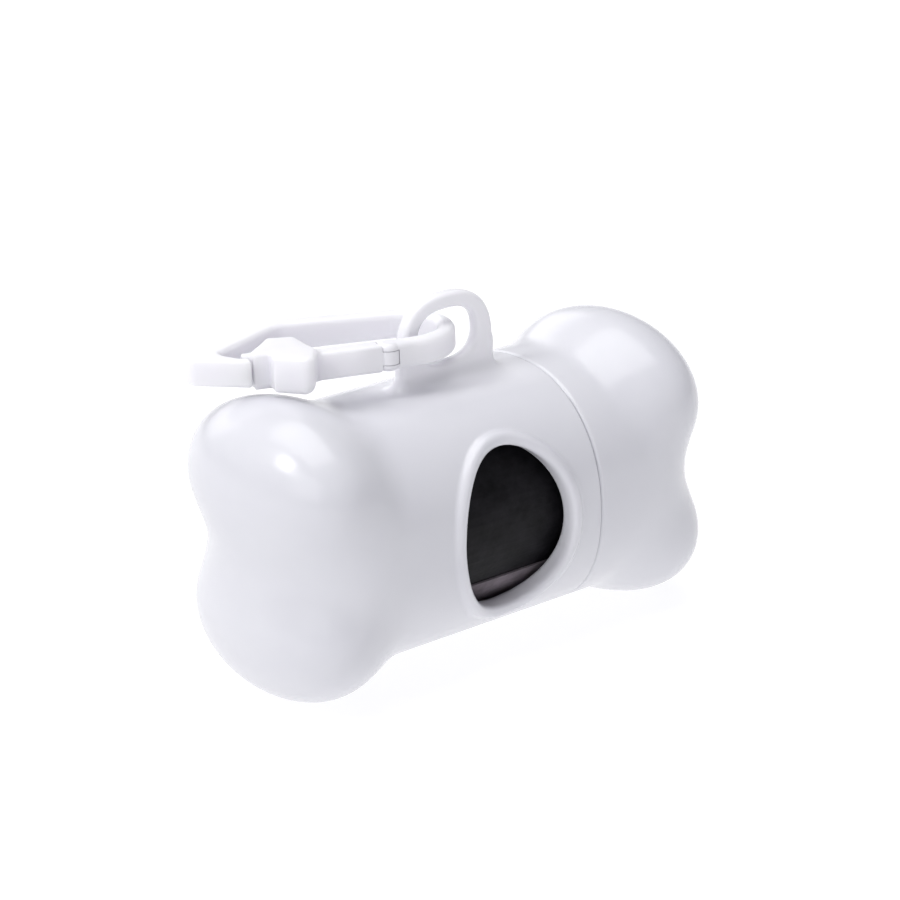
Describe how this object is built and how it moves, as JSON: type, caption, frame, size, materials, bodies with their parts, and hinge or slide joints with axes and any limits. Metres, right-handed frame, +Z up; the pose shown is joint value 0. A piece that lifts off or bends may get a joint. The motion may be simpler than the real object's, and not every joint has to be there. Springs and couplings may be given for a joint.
{
  "type": "dog poop bag dispenser",
  "caption": "Bone-shaped dispenser for a roll of dog waste bags, with a pull-off cap, an oval port in front and a hook clip with a sprung gate.",
  "frame": {"origin": "on the table, below the middle of the bone", "axes": "+X along the bone towards the cap, -Y out of the dispensing port, +Z up"},
  "size_m": [0.081, 0.0387, 0.0539],
  "materials": {
    "shell_plastic": "glossy moulded, white",
    "clip_plastic": "satin gloss moulded, white",
    "film": "wound thin film, black",
    "core_card": "plain board",
    "steel": "plain steel"
  },
  "bodies": {
    "body": {"body_shell": "shell_plastic"},
    "collar": {"cap_collar": "shell_plastic"},
    "cap": {"cap_shell": "shell_plastic"},
    "roll": {"roll_core": "core_card", "bag_roll": "film", "leading_bag": "film"},
    "clip": {"clip_frame": "clip_plastic", "gate_pin": "clip_plastic", "gate_spring": "steel"},
    "gate": {"clip_gate": "clip_plastic"}
  },
  "joints": [
    {"name": "cap_pull", "type": "slide", "parent": "body", "child": "collar", "axis": [1, 0, 0], "range_m": [0, 0.022]},
    {"name": "cap_twist", "type": "hinge", "parent": "collar", "child": "cap", "pos_m": [0, 0, 0.0219], "axis": [1, 0, 0], "continuous": true},
    {"name": "roll_spin", "type": "hinge", "parent": "body", "child": "roll", "pos_m": [0, 0, 0.0212], "axis": [1, 0, 0], "continuous": true},
    {"name": "clip_swing", "type": "hinge", "parent": "body", "child": "clip", "pos_m": [0, 0, 0.0473], "axis": [0, 1, 0], "range_deg": [0, 180]},
    {"name": "gate_open", "type": "hinge", "parent": "clip", "child": "gate", "pos_m": [-0.01201, -0.00201, 0.0473], "axis": [0, 0, -1], "range_deg": [0, 14], "stiffness_Nm_per_rad": 0.03, "springref_deg": -11.46}
  ]
}
